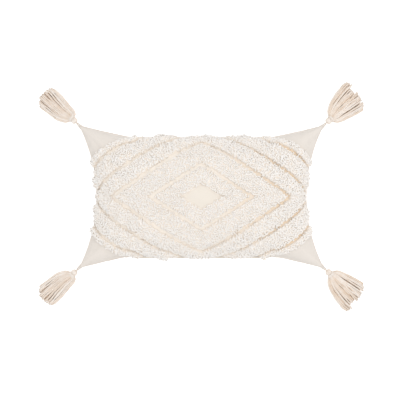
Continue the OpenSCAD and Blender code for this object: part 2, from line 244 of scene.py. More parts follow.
def ring_object(name, rings, along, closed=False, rise=None, girth=1.0):
    """A mesh of n tubes, each of k rings of s points. Its UVs are the distance along, clear of the front's
    pattern, and the part of the girth."""
    n, k, s = rings.shape[:3]
    index = np.arange(n * k * s).reshape(n, k, s)
    here, there = (index, np.roll(index, -1, 1)) if closed else (index[:, :-1], index[:, 1:])
    turn = lambda a: np.roll(a, -1, 2)
    quads = np.stack([here, turn(here), turn(there), there], -1)
    share = np.broadcast_to(np.arange(s) / s, here.shape)
    if closed:
        along = np.concatenate([along, 2 * along[:, -1:] - along[:, -2:-1]], 1)
    near, far = (np.broadcast_to(a[..., None], here.shape) for a in (along[:, :-1], along[:, 1:]))
    uv = np.stack([
        np.stack([near, share], -1), np.stack([near, share + 1 / s], -1),
        np.stack([far, share + 1 / s], -1), np.stack([far, share], -1),
    ], -2)
    faces, uv = quads.reshape(-1, 4).tolist(), uv.reshape(-1, 2)
    if not closed:
        faces += index[:, 0, ::-1].tolist() + index[:, -1].tolist()
        ends = np.repeat(np.stack([along[:, 0], along[:, -1]]).ravel(), s)
        uv = np.concatenate([uv, np.stack([ends, np.zeros_like(ends)], -1)])
    uv = uv * [1, girth] + [PLAIN_AT, 0]
    if rise is not None:
        rise = np.repeat(rise.ravel(), s)
    return new_object(name, rings, faces, uv, rise)


def tube_rings(paths, radius, square, sides, closed=False):
    """Rings round each path of points. square is a direction for each path that the path never takes."""
    tangent = np.roll(paths, -1, 1) - np.roll(paths, 1, 1) if closed else np.gradient(paths, axis=1)
    tangent = unit(tangent)
    first = unit(np.cross(tangent, np.broadcast_to(square, paths.shape[:1] + (3,))[:, None]))
    second = np.cross(tangent, first)
    angle = 2 * np.pi * np.arange(sides) / sides
    cos, sin = (f(angle)[None, None, :, None] for f in (np.cos, np.sin))
    radius = np.broadcast_to(radius, paths.shape[:2])[..., None, None]
    return paths[:, :, None] + radius * (cos * first[:, :, None] + sin * second[:, :, None])


def lengths_along(paths):
    steps = np.linalg.norm(np.diff(paths, axis=1), axis=-1)
    return np.concatenate([np.zeros((len(paths), 1)), np.cumsum(steps, 1)], 1)


def tubes(name, paths, radius, square, sides, closed=False, rise=None, girth=1.0):
    rings = tube_rings(paths, radius, square, sides, closed)
    return ring_object(name, rings, lengths_along(paths), closed, rise, girth)


# ---- Materials ---------------------------------------------------------------------------------

def linear(code):
    """A colour such as #f3ece3 as linear red, green, blue and alpha."""
    parts = [int(code[k:k + 2], 16) / 255 for k in (1, 3, 5)]
    return [c / 12.92 if c <= 0.04045 else ((c + 0.055) / 1.055) ** 2.4 for c in parts] + [1.0]


class Surface:
    """A material under construction."""

    def __init__(self, name, roughness, sheen=0.0):
        self.material = bpy.data.materials.new(name)
        self.material.use_nodes = True
        self.tree = self.material.node_tree
        self.shader = self.tree.nodes["Principled BSDF"]
        self.shader.inputs["Roughness"].default_value = roughness
        self.shader.inputs["Sheen Weight"].default_value = sheen
        self.shader.inputs["Specular IOR Level"].default_value = 0.25

    def node(self, kind, inputs=(), **settings):
        made = self.tree.nodes.new("ShaderNode" + kind)
        for name, value in settings.items():
            setattr(made, name, value)
        for name, value in dict(inputs).items():
            if isinstance(value, bpy.types.NodeSocket):
                self.tree.links.new(value, made.inputs[name])
            else:
                made.inputs[name].default_value = value
        return made

    def math(self, operation, a, b=0.0, c=0.0, clamp=False):
        return self.node("Math", {0: a, 1: b, 2: c}, operation=operation, use_clamp=clamp).outputs[0]

    def thread_axes(self):
        """The two thread coordinates of the mesh."""
        made = self.node("UVMap", uv_map="thread")
        split = self.node("SeparateXYZ", {0: made.outputs[0]})
        return split.outputs[0], split.outputs[1]

    def noise(self, vector, scale, detail=2.0):
        return self.node("TexNoise", {"Vector": vector, "Scale": scale, "Detail": detail}).outputs["Fac"]

    def place(self):
        return self.node("TexCoord").outputs["Object"]

    def vector(self, x, y):
        return self.node("CombineXYZ", {0: x, 1: y}).outputs[0]

    def mix(self, share, a, b):
        made = self.node("Mix", data_type="RGBA")
        for socket, value in ((made.inputs[0], share), (made.inputs[6], a), (made.inputs[7], b)):
            if isinstance(value, bpy.types.NodeSocket):
                self.tree.links.new(value, socket)
            else:
                socket.default_value = value
        return made.outputs[2]

    def bump(self, height, distance):
        return self.node("Bump", {"Height": height, "Distance": distance, "Strength": 1.0}).outputs[0]

    def finish(self, colour, normal=None, roughness=None):
        for name, socket in (("Base Color", colour), ("Normal", normal), ("Roughness", roughness)):
            if socket:
                self.tree.links.new(socket, self.shader.inputs[name])
        return self.material


def woven(name, light, dark, pitch, relief, painted_light_tints=None, slub=1.0):
    """Plain weave of slightly uneven threads, on the mesh's flat pattern. The optional tints are painted
    light
    and shade on the front: a middle diamond painted lighter where it faces the light, bare lines painted lit
    at the left, and bare lines in warm painted shade at the right, where they are narrower and light
    reaches them only off the yarn."""
    s = Surface(name, 0.92, 0.2)
    u, v = s.thread_axes()
    scaled = [s.math("MULTIPLY", axis, math.pi / pitch) for axis in (u, v)]
    waves = [s.math("ABSOLUTE", s.math("COSINE", axis)) for axis in scaled]
    turn = s.math("MULTIPLY", s.math("SINE", scaled[0]), s.math("SINE", scaled[1]))
    over = s.math("MULTIPLY_ADD", turn, 1.6, 0.5, clamp=True)
    threads = s.math("ADD", s.math("MULTIPLY", waves[0], over),
                     s.math("MULTIPLY", waves[1], s.math("SUBTRACT", 1.0, over)))
    along = s.noise(s.vector(s.math("MULTIPLY", u, 60.0), s.math("MULTIPLY", v, 900.0)), 1.0)
    across = s.noise(s.vector(s.math("MULTIPLY", u, 900.0), s.math("MULTIPLY", v, 60.0)), 1.0)
    slubs = s.math("MULTIPLY", s.math("ADD", along, across), 0.5)
    patches = s.noise(s.vector(u, v), 26.0, 3.0)
    height = s.math("ADD", threads, s.math("MULTIPLY", slubs, slub))
    # The threads and slubs that the bump raises are also painted lighter, and the hollows between them
    # darker: painted shade. The broad patches are the cloth's own uneven tone.
    uneven = s.math("ADD", s.math("MULTIPLY", patches, 0.3), s.math("MULTIPLY", threads, 0.2))
    shade = s.math("ADD", s.math("MULTIPLY", slubs, 0.55), uneven, clamp=True)
    colour = s.mix(shade, linear(dark), linear(light))
    # Painted light and shade on the front's bare canvas: a lighter middle diamond, lit lines at the left,
    # and lines in warm painted shade at the right
    if painted_light_tints:
        slanted = s.math("DIVIDE", s.math("ABSOLUTE", v), DIAMOND_SLOPE)
        diagonal = s.math("ADD", s.math("ABSOLUTE", u), slanted)
        in_middle = s.math("LESS_THAN", diagonal, DIAMONDS[0])
        in_lines = s.math("LESS_THAN", diagonal, DIAMONDS[5] - TUFT_MARGIN)
        for axis, flat_size in ((u, FLAT_L), (v, FLAT_W)):
            within = s.math("LESS_THAN", s.math("ABSOLUTE", axis), flat_size / 2 - TUFT_MARGIN)
            in_lines = s.math("MULTIPLY", in_lines, within)
        shade_rightwards = s.math("MULTIPLY", s.math("SUBTRACT", u, SHADE_TINT_START), SHADE_TINT_GAIN, clamp=True)
        lines = s.mix(shade_rightwards, linear(painted_light_tints[1]), linear(painted_light_tints[2]))
        colour = s.mix(in_lines, colour, s.mix(in_middle, lines, linear(painted_light_tints[0])))
    return s.finish(colour, s.bump(height, relief))


def yarn(name, light, deep_shade, pitch):
    """Three twisted plies, with painted shade: warmer and darker down in the pile and in the grooves between
    the plies.
    """
    plies, relief = 3.0, 0.00025
    s = Surface(name, 0.95, 0.25)
    along, around = s.thread_axes()
    turn = s.math("ADD", s.math("DIVIDE", along, pitch), around)
    ply = s.math("SINE", s.math("MULTIPLY", turn, 2 * math.pi * plies))
    fuzz = s.noise(s.place(), 1500.0, 3.0)
    tone = s.noise(s.place(), 90.0, 2.0)
    height = s.math("ADD", s.math("MULTIPLY", ply, 0.5), s.math("MULTIPLY", fuzz, 0.9))
    rise = s.node("Attribute", attribute_name="rise").outputs["Fac"]
    # rise and the plies' twist set the painted shade, darker towards the roots and in the grooves; the broad
    # tone noise is the yarn's own uneven colour
    low = s.math("ADD", s.math("MULTIPLY", rise, 0.85), s.math("MULTIPLY", ply, 0.08))
    share = s.math("ADD", low, s.math("MULTIPLY", s.math("SUBTRACT", tone, 0.5), 0.5), clamp=True)
    colour = s.mix(share, linear(deep_shade), linear(light))
    return s.finish(colour, s.bump(height, relief))


def fleece(name, light, dark):
    """Loose white fibre."""
    s = Surface(name, 1.0, 0.6)
    place = s.place()
    tufts, hair = s.noise(place, 60.0, 5.0), s.noise(place, 900.0, 4.0)
    height = s.math("ADD", tufts, s.math("MULTIPLY", hair, 0.4))
    # The colour follows the lumps of the bump, darker in their hollows: painted shade
    return s.finish(s.mix(tufts, linear(dark), linear(light)), s.bump(height, 0.002))


def moulded(name, light, dark, roughness, grain, metallic=0.0):
    """A hard finish with a fine grain and slightly uneven gloss."""
    s = Surface(name, roughness)
    s.shader.inputs["Specular IOR Level"].default_value = 0.5
    s.shader.inputs["Metallic"].default_value = metallic
    place = s.place()
    fine, broad = s.noise(place, 2500.0, 3.0), s.noise(place, 140.0, 3.0)
    uneven = s.math("MULTIPLY_ADD", broad, 0.25, roughness - 0.12)
    return s.finish(s.mix(broad, linear(dark), linear(light)), s.bump(fine, grain), uneven)


def tape(name, light, dark):
    """Herringbone tape, woven along X."""
    s = Surface(name, 0.85, 0.1)
    split = s.node("SeparateXYZ", {0: s.place()})
    x, y = split.outputs[0], split.outputs[1]
    fold = s.math("PINGPONG", y, 0.0015)
    rib = s.math("SINE", s.math("MULTIPLY", s.math("ADD", x, fold), 2 * math.pi / 0.0009))
    noise = s.noise(s.place(), 700.0, 3.0)
    height = s.math("ADD", rib, noise)
    # The noise that roughens the bump also darkens its low spots: painted shade in the small hollows
    return s.finish(s.mix(noise, linear(dark), linear(light)), s.bump(height, 0.0001))


MATERIALS = {
    # The canvas's last three colours are painted light and shade: the lit middle diamond, the lit bare lines
    # at the left and the shaded bare lines at the right
    "canvas": woven("canvas", "#ede6df", "#e3dbd2", 0.0009, 0.00012, ("#eee6db", "#f8f0e6", "#f1dcc2")),
    # Each yarn's second colour is painted shade, for the foot of the pile and the gaps between strands
    "tufting": yarn("tufting", "#fcf9f6", "#f7ecdf", 0.006),
    "tassel_yarn": yarn("tassel_yarn", "#faf3ec", "#dcbb97", 0.007),
    "insert_casing": woven("insert_casing", "#f7f6f3", "#e9e7e2", 0.0004, 0.00004, slub=0.4),
    "fibre": fleece("fibre", "#ffffff", "#ebe9e4"),
    "zip_tape": tape("zip_tape", "#efe9df", "#dfd7ca"),
    "zip_teeth": moulded("zip_teeth", "#efe9df", "#e2dace", 0.5, 0.00002),
    "zip_metal": moulded("zip_metal", "#ece5da", "#ddd4c6", 0.42, 0.00001, 0.2),
}


def dress(obj, slot, body, *nodes):
    """Gives a piece its material and its body, and hides the CAD nodes that it stands for."""
    obj.data.materials.clear()
    obj.data.materials.append(MATERIALS[slot])
    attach(obj, body)
    if nodes:
        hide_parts(*nodes)
    return obj


# ---- The stuffed cover -------------------------------------------------------------------------

def cover_cloth(start, flat):
    """Both panels as one closed cloth, sewn round the edge. Returns the object and the grids' numbers."""
    index = np.arange(flat[..., 0].size).reshape(flat.shape[:2])
    inner = np.zeros(index.shape, bool)
    inner[1:-1, 1:-1] = True
    below = index.copy()
    below[inner] = index.size + np.arange(inner.sum())
    points = np.concatenate([start[0].reshape(-1, 3), start[1][inner]])
    faces = np.concatenate([grid_quads(index, False), grid_quads(below, True)])
    obj = new_object("cover_cloth", points, faces.tolist())
    obj.shape_key_add(name="stuffed")
    cut = obj.shape_key_add(name="cut")
    cut.data.foreach_set("co", np.concatenate([flat.reshape(-1, 3), flat[inner]]).ravel())
    return obj, index, below


def settle(obj):
    """Lets the stuffing's pressure work on the cloth, and returns where its points end up."""
    cloth = obj.modifiers.new("cloth", "CLOTH")
    settings = cloth.settings
    settings.quality = 7
    settings.mass = 0.3
    settings.tension_stiffness = settings.compression_stiffness = 15
    settings.shear_stiffness = 5
    settings.bending_stiffness = 0.05
    settings.air_damping = 3
    settings.use_pressure = True
    settings.uniform_pressure_force = 4
    settings.rest_shape_key = obj.data.shape_keys.key_blocks["cut"]
    settings.effector_weights.gravity = 0
    cloth.collision_settings.use_collision = False
    cloth.point_cache.frame_end = CLOTH_FRAMES
    for number in range(1, CLOTH_FRAMES + 1):
        bpy.context.scene.frame_set(number)
    settled = obj.evaluated_get(bpy.context.evaluated_depsgraph_get()).data
    points = np.empty(len(settled.vertices) * 3)
    settled.vertices.foreach_get("co", points)
    bpy.context.scene.frame_set(1)
    return points.reshape(-1, 3)


def cloth_folds():
    """The folds that the simulation adds to the front and back, as shifts on the fine grid."""
    p, q = cell_grid(CLOTH_CELLS)
    start = [plain_form(front, p, q) for front in (True, False)]
    for form in start:
        form[..., 2] = SEAM_Z + (form[..., 2] - SEAM_Z) * CLOTH_SWELL
    flat = np.stack([p * FLAT_L / 2, q * FLAT_W / 2, np.zeros_like(p)], -1)
    obj, above, below = cover_cloth(start, flat)
    points = settle(obj)
    bpy.data.objects.remove(obj)
    folds = []
    for form, index in zip(start, (above, below)):
        moved = points[index] - form
        moved = moved - blur(moved, FOLD_BLUR)
        size = np.linalg.norm(moved, axis=-1, keepdims=True)
        moved *= CLOTH_CAP * np.tanh(size / CLOTH_CAP) / np.maximum(size, 1e-9)
        folds.append(upsample(upsample(moved, 0), 1))
    return folds


PUCKER_CELL = 0.0085
PUCKER_REACH = 0.013
PUCKER_H = 0.0011
DENT_CELL = 0.03
DENT_H = 0.0007
CORNER_FOLD_REACH = 0.035
CORNER_FOLD_H = 0.0008
# How much of its folds the cloth keeps where it is sewn
SEWN_SHARE = 0.25
# How far in from the zip the folds fade, as a share of half the width, and how far along they do
ZIP_CALM = 0.12
ZIP_CALM_L = 0.62


def seam_puckers(p, q, seed):
    """Height of the small gathers that a sewn edge draws in the cloth beside it, and of broader dents."""
    u, v = p * FLAT_L / 2, q * FLAT_W / 2
    to_end, to_side = FLAT_L / 2 - np.abs(u), FLAT_W / 2 - np.abs(v)
    side = np.sign(q) * 0.5
    end = np.sign(p) * 0.5
    beside = value_noise(u, side, PUCKER_CELL, seed) * np.exp(-to_side / PUCKER_REACH)
    endwise = value_noise(v, end, PUCKER_CELL, seed + 1) * np.exp(-to_end / PUCKER_REACH)
    dents = value_noise(u, v, DENT_CELL, seed + 2)
    return PUCKER_H * (beside + endwise) + DENT_H * dents


def corner_folds(p, q, seed):
    """Soft folds that fan out from each corner tip into the panel."""
    to_tip = np.hypot((1 - np.abs(p)) * FLAT_L / 2, (1 - np.abs(q)) * FLAT_W / 2)
    bearing = np.arctan2((1 - np.abs(q)) * FLAT_W, (1 - np.abs(p)) * FLAT_L)
    reach = to_tip / CORNER_FOLD_REACH * np.exp(1 - to_tip / CORNER_FOLD_REACH)
    which = np.sign(p) * 2 + np.sign(q)
    return CORNER_FOLD_H * reach * value_noise(bearing * 0.01, which * 0.02, 0.0024, seed)


def cover_surface(front, folds):
    """The fine grid of one outer surface of the cover, with every fold and pucker."""
    p, q = cell_grid(FINE_CELLS)
    plain = plain_form(front, p, q)
    normals = grid_normals(plain) * (1 if front else -1)
    seed = 11 if front else 31
    relief = seam_puckers(p, q, seed) + corner_folds(p, q, seed + 5)
    at_rim = np.minimum(1 - np.abs(p), 1 - np.abs(q)) < 1e-6
    zip_side = np.clip(1 - (q + 1) / ZIP_CALM, 0, 1) * (np.abs(p) < ZIP_CALM_L)
    hold = np.where(at_rim, SEWN_SHARE, 1.0) * (1 - zip_side)
    surface = plain + (folds + normals * relief[..., None]) * hold[..., None]
    surface[..., 2] = np.maximum(surface[..., 2], LOWEST)
    return surface, surface - plain


def sample(grid, u, v):
    """Values of a fine grid at flat coordinates."""
    i = np.interp(np.asarray(u) * 2 / FLAT_L, cell_lines(FINE_CELLS[0]), np.arange(FINE_CELLS[0] + 1))
    j = np.interp(np.asarray(v) * 2 / FLAT_W, cell_lines(FINE_CELLS[1]), np.arange(FINE_CELLS[1] + 1))
    a, b = (np.minimum(k.astype(int), n - 1) for k, n in zip((i, j), FINE_CELLS))
    s, t = (i - a)[..., None], (j - b)[..., None]
    low = grid[a, b] * (1 - s) + grid[a + 1, b] * s
    high = grid[a, b + 1] * (1 - s) + grid[a + 1, b + 1] * s
    return low * (1 - t) + high * t


FOLDS = cloth_folds()
FRONT, FRONT_SHIFT = cover_surface(True, FOLDS[0])
BACK_SHIFT = cover_surface(False, FOLDS[1])[1]
FRONT_NORMALS = grid_normals(FRONT)


def sheet_piece(name, front, shift, outer, inner, slot):
    """A panel of the cover or of the insert. outer and inner are its (inset, depth)."""
    p, q = cell_grid(FINE_CELLS)
    surfaces = []
    for inset, depth in (outer, inner):
        surface = plain_form(front, p, q, inset, depth) + shift
        surface[..., 2] = np.maximum(surface[..., 2], LOWEST + (0 if front else depth))
        surfaces.append(surface)
    obj = shell(name + "_cloth", p, q, *surfaces, flip=not front)
    return dress(obj, slot, "cover", name)


def stuffed_pieces():
    """The cover's two panels, the insert's two casings and the fibre inside."""
    casing = CANVAS_T + INSERT_GAP
    made = [
        sheet_piece("front_panel", True, FRONT_SHIFT, (0, 0), (CANVAS_T, CANVAS_T), "canvas"),
        sheet_piece("back_panel", False, BACK_SHIFT, (0, 0), (CANVAS_T, CANVAS_T), "canvas"),
    ]
    soft = [blur(shift, 4) for shift in (FRONT_SHIFT, BACK_SHIFT)]
    outer, inner = (INSERT_INSET, casing), (INSERT_INSET + CASING_T, casing + CASING_T)
    made += [
        sheet_piece("insert_front", True, soft[0], outer, inner, "insert_casing"),
        sheet_piece("insert_back", False, soft[1], outer, inner, "insert_casing"),
    ]
    inset, depth = INSERT_INSET + CASING_T + INSERT_GAP, casing + CASING_T + INSERT_GAP
    p, q = cell_grid(FINE_CELLS)
    top, bottom = (plain_form(front, p, q, inset, depth) + s for front, s in zip((True, False), soft))
    lumps = FIBRE_LUMP * (value_noise(p * FLAT_L, q * FLAT_W, FIBRE_LUMP_CELL, 71) - 1) * crown(p, q)
    top[..., 2] += lumps
    bottom[..., 2] = np.maximum(bottom[..., 2], depth) - lumps
    made.append(dress(shell("fibre_fill_lumps", p, q, top, bottom, False), "fibre", "cover", "fibre_fill"))


# ---- Edge seam ---------------------------------------------------------------------------------

SEAM_W = 0.008
SEAM_T = 0.001
SEAM_INSET = 0.0004
OVERLOCK_W = 0.003
OVERLOCK_R = 0.0002
# The half of the zip's opening, as a share of half the long side
ZIP_OPENING = 0.54
SIDE_POINTS = 300
END_POINTS = 180
PART_POINTS = 60


def seam_line(inset):
    """Points of the outline from one end of the zip round to the other, drawn in by inset."""
    side = np.linspace(-1, 1, SIDE_POINTS)
    end = np.linspace(-1, 1, END_POINTS)
    part = np.linspace(ZIP_OPENING, 1, PART_POINTS)
    left, right = np.full(END_POINTS, -1.0), np.full(END_POINTS, 1.0)
    bottom, top = np.full(PART_POINTS, -1.0), np.full(SIDE_POINTS, 1.0)
    p = np.concatenate([-part, left, side, right, part[::-1]])
    q = np.concatenate([bottom, end, top, -end, bottom])
    u, v = p * FLAT_L / 2, q * FLAT_W / 2
    shift = (sample(FRONT_SHIFT, u, v) + sample(BACK_SHIFT, u, v)) / 2
    x = edge_x(q) * p * (1 - inset / TIP_X)
    y = edge_y(p) * q * (1 - inset / TIP_Y)
    return np.stack([x, y, np.full_like(x, SEAM_Z)], -1) + shift


def seam_piece():
    """The seam allowance, with its overlocked inner edge."""
    outer, inner = seam_line(SEAM_INSET), seam_line(SEAM_INSET + SEAM_W)
    up = np.array([0, 0, SEAM_T / 2])
    rings = np.stack([outer - up, outer + up, inner + up, inner - up], 1)[None]
    strip = ring_object("edge_seam_strip", rings, lengths_along(outer[None]), girth=0.02)
    within = seam_line(SEAM_INSET + SEAM_W - OVERLOCK_W)
    steps = np.arange(len(inner))
    lift = np.where(steps % 2 == 0, 1, -1)[:, None] * up * 1.3
    zigzag = np.where((steps // 2 % 2 == 0)[:, None], inner, within) + lift
    thread = tubes("overlock", zigzag[None], OVERLOCK_R, np.array([0.0, 0, 1]), 5, girth=0.001)
    dress(join("edge_seam_strip", [strip, thread]), "canvas", "cover", "edge_seam")


# ---- Tufting -----------------------------------------------------------------------------------

LINE_W = 0.008
# Distance between rows of tufts, as a share of that between the tufts of a row
ROW_SHARE = 0.866
CLUMP_CELL = 0.011
LOOP_POINTS = 8
ROOT_DEPTH = 0.0009
# How far a tuft may stand from its regular spot, as a share of the spacing
SCATTER = 0.3
INNER_PILE = {"height": 0.0050, "spacing": 0.0040, "radius": 0.00130, "span": 0.0038, "lean": (0.0, 0.4)}
OUTER_PILE = {"height": 0.0066, "spacing": 0.0040, "radius": 0.00140, "span": 0.0042, "lean": (0.1, 0.45)}
# How deep the matted foot of the pile is, as a share of the pile
PILE_FLOOR = 0.68
# How far that foot stands back from a bare line, as a share of how far the loops do
FLOOR_INSET = 0.7
FLOOR_STEPS = 90
FLOOR_WIDTHS = 14
# Within this distance of a seam the bands stand up as separate ridges: the share of the full height that
# a ridge has at its edges, and what its middle adds
RIDGE_W = 0.030
RIDGE_EDGE = 0.3
RIDGE_RISE = 1.05
# How much lower the pile is at the edges of a band that lies free of the seams
EDGE_DROP = 0.34
# How uneven the pile is, and how much more so towards the left
UNEVEN = 0.26
UNEVEN_LEFT = 0.2
# How far the loops stand back from a bare line of the pattern, at the left and at the right end
LINE_LEFT = 0.0026
LINE_RIGHT = 0.0014
BANDS = [
    (0, INNER_PILE, ["tuft_ring_1"]),
    (1, INNER_PILE, ["tuft_ring_2"]),
    (2, OUTER_PILE, ["tuft_ring_3"]),
    (3, OUTER_PILE, ["tuft_band_4_" + y + "_" + x for y in SIDES_Y for x in SIDES_X]),
    (4, OUTER_PILE, ["tuft_band_5_" + y + "_" + x for y in SIDES_Y for x in SIDES_X]),
]


def diamond(u, v):
    """Half length of the diamond through a point of the flat panel."""
    return np.abs(u) + np.abs(v) / DIAMOND_SLOPE


def line_gap(u):
    """How far the loops stand back from a bare line, which lies more open towards the left."""
    share = np.clip(0.5 - u / 0.16, 0, 1)
    return (LINE_RIGHT + (LINE_LEFT - LINE_RIGHT) * share) / DIAMOND_SLOPE


def pile_share(u, v, across):
    """Share of its full height that the pile has. across is 0 and 1 at the two edges of the band."""
    to_seam = np.minimum(FLAT_L / 2 - np.abs(u), FLAT_W / 2 - np.abs(v))
    free = np.clip(to_seam / RIDGE_W, 0, 1)
    off_middle = np.abs(2 * across - 1)
    level = 1 - EDGE_DROP * off_middle ** 3
    ridge = RIDGE_EDGE + RIDGE_RISE * (1 - off_middle ** 2)
    loose = UNEVEN + UNEVEN_LEFT * np.clip(-u / 0.2, 0, 1)
    clumps = value_noise(u, v, CLUMP_CELL, 301) * np.clip(diamond(u, v) / 0.3, 0.3, 1)
    return (level * free + ridge * (1 - free)) * (1 + loose * clumps)


def tuft_spots(inner, outer, spacing, corner, rng):
    """Where the tufts of a band stand on the flat panel, in uneven rows."""
    half_rows = int(FLAT_W / 2 / (spacing * ROW_SHARE))
    rows = np.arange(-half_rows, half_rows + 1) * spacing * ROW_SHARE
    columns = np.arange(-FLAT_L / 2, FLAT_L / 2, spacing)
    u, v = np.meshgrid(columns, rows)
    stagger = (np.arange(len(rows)) % 2 * spacing / 2)[:, None]
    u = u + stagger + rng.uniform(-SCATTER, SCATTER, u.shape) * spacing
    v = v + rng.uniform(-SCATTER, SCATTER, v.shape) * spacing
    a = diamond(u, v)
    gap = line_gap(u)
    keep = (a > inner + gap) & (a < outer - gap)
    keep &= (np.abs(u) < FLAT_L / 2 - TUFT_MARGIN) & (np.abs(v) < FLAT_W / 2 - TUFT_MARGIN)
    if corner:
        keep &= (u * SIDES_X[corner[1]] > 0) & (v * SIDES_Y[corner[0]] > 0)
    return u[keep], v[keep]


def loops(name, u, v, across_band, pile, rng):
    """Loops of yarn standing on the cover, each a leaning arch rooted in the canvas."""
    count = len(u)
    base, normal = sample(FRONT, u, v), unit(sample(FRONT_NORMALS, u, v))
    east = unit(np.cross([[0, 1.0, 0]], normal))
    north = np.cross(normal, east)
    pick = lambda low, high: rng.uniform(low, high, count)
    heading = pick(0, 2 * np.pi)
    clump = value_noise(u, v, CLUMP_CELL, 301)
    outward = np.arctan2(np.sign(v) / DIAMOND_SLOPE, np.sign(u))
    lean_way = outward + pick(-1.3, 1.3) + clump
    height = pile["height"] * pick(0.78, 1.05) * pile_share(u, v, across_band)
    lean = pick(*pile["lean"]) * height
    span = pile["span"] * pick(0.75, 1.25)
    wander = pick(-0.35, 0.35) * span
    direction = lambda angle: np.cos(angle)[:, None] * east + np.sin(angle)[:, None] * north
    t = np.linspace(0, 1, LOOP_POINTS)[None, :]
    arch = np.sin(np.pi * t) ** 0.8
    across = -np.cos(np.pi * t) * (1 + 0.35 * arch) / 2
    sway = np.sin(2 * np.pi * t)
    along, beside = direction(heading), direction(heading + np.pi / 2)
    terms = (
        (across * span[:, None], along),
        (sway * wander[:, None], beside),
        (arch * height[:, None] - ROOT_DEPTH * (1 - arch), normal),
        (arch ** 1.5 * lean[:, None], direction(lean_way)),
    )
    paths = base[:, None] + sum(amount[..., None] * way[:, None] for amount, way in terms)
    square = unit(beside + 0.001 * normal)
    # Painted shade: the loops are darker towards their roots, and lower loops darker all over
    rise = np.repeat(arch, count, 0) * (0.55 + 0.45 * (height / pile["height"])[:, None])
    return tubes(name, paths, pile["radius"], square, 6, rise=rise)


def ray_limit(t):
    """How far a ray of the diamond pattern runs before it meets the edge of the tufting."""
    return np.minimum((FLAT_L / 2 - TUFT_MARGIN) / np.maximum(1 - t, 0.001),
                      (FLAT_W / 2 - TUFT_MARGIN) / DIAMOND_SLOPE / np.maximum(t, 0.001))


def pile_floor(name, inner, outer, pile, corner):
    """The matted yarn at the foot of the loops, which hides the canvas between them."""
    widths = np.linspace(0, 1, FLOOR_WIDTHS)
    all_round = [("top", "right"), ("top", "left"), ("bottom", "left"), ("bottom", "right")]
    sections = []
    for y, x in [corner] if corner else all_round:
        sx, sy = SIDES_X[x], SIDES_Y[y]
        if corner:
            start = inner + FLOOR_INSET * line_gap(-FLAT_L / 2) + 0.001
            first = 1 - (FLAT_L / 2 - TUFT_MARGIN) / start
            last = (FLAT_W / 2 - TUFT_MARGIN) / DIAMOND_SLOPE / start
            t = np.linspace(max(first, 0), min(last, 1), FLOOR_STEPS)
        else:
            t = np.arange(FLOOR_STEPS) / FLOOR_STEPS
        if sx * sy < 0:
            t = t[::-1] if corner else 1 - t
        gap = FLOOR_INSET * line_gap(sx * inner * (1 - t))
        near, far = inner + gap, np.minimum(outer - gap, ray_limit(t))
        a = near[:, None] + np.maximum(far - near, 0.0002)[:, None] * widths
        u, v = sx * a * (1 - t)[:, None], sy * a * DIAMOND_SLOPE * t[:, None]
        sections.append(np.stack([u, v, a], -1))
    u, v, a = np.moveaxis(np.concatenate(sections), -1, 0)
    base, normal = sample(FRONT, u, v), unit(sample(FRONT_NORMALS, u, v))
    edge = np.minimum(1, np.minimum(widths, 1 - widths) / 0.1) ** 0.5
    lumps = PILE_FLOOR + 0.12 * value_noise(u, v, 0.003, 401)
    height = pile["height"] * pile_share(u, v, (a - inner) / (outer - inner)) * lumps * edge - 0.0002
    upper = base + normal * height[..., None]
    lower = (base - normal * 0.0004)[:, ::-1]
    rings = np.concatenate([upper, lower], 1)[None]
    along = lengths_along(base[:, FLOOR_WIDTHS // 2][None])
    # Its low rise paints the foot of the pile in deep shade
    return ring_object(name, rings, along, closed=not corner, rise=np.full(rings.shape[:2], 0.2))


def tufting():
    for band, pile, nodes in BANDS:
        inner = DIAMONDS[band]
        outer = DIAMONDS[band + 1] - (LINE_W if band < 4 else 0)
        for number, name in enumerate(nodes):
            corner = tuple(name.split("_")[-2:]) if len(nodes) > 1 else None
            rng = np.random.default_rng(500 + 10 * band + number)
            u, v = tuft_spots(inner, outer, pile["spacing"], corner, rng)
            pieces = [
                loops(name + "_loops", u, v, (diamond(u, v) - inner) / (outer - inner), pile, rng),
                pile_floor(name + "_floor", inner, outer, pile, corner),
            ]
            dress(join(name + "_loops", pieces), "tufting", "cover", name)


# ---- Tassels -----------------------------------------------------------------------------------

LOOP_R = 0.0032
CORD_R = 0.0008
EYE_R = 0.0029
EYE_BORE = 0.0012
EYE_H = 0.0018
WHIPPED_L = 0.0095
WHIPPED_W = 0.0044
WHIPPED_T = 0.0014
# The whipping's size at the eye, as a share of that at its far end
WHIPPED_TAPER = 0.6
HEAD_AT = 0.0071
HEAD_R = 0.0060
HEAD_SPREAD = 1.18
SKIRT_START = HEAD_AT + 0.0047
BINDING_L = 0.004
BINDING_R = 0.0074
NECK_R = 0.0056
SKIRT_T = 0.022
SHOULDER = SKIRT_START + BINDING_L + 0.0010
SHOULDER_W = 0.0081
SHOULDER_T = 0.0076
SWELL_T = 0.55
END_L = 0.014
# How much shorter a yarn is cut at a share of the width from the middle
CUT_SHARES = (0, 0.42, 0.74, 0.93, 1)
CUT_BACK = (0, 0, 0.0028, 0.0077, 0.012)
FLOOR_GAP = 0.0005
STRAND_R = 0.00150
STRAND_POINTS = 18
# How closely the yarns of a clump lie together, and how far they wander
GATHER = 0.84
DRIFT = 0.0022
DRIFT_CELL = 0.022
EYE_THREAD_R = 0.00026
WHIPPING_R = 0.00028
# Sides of the cores inside the wound pieces
CORE_SIDES = 20
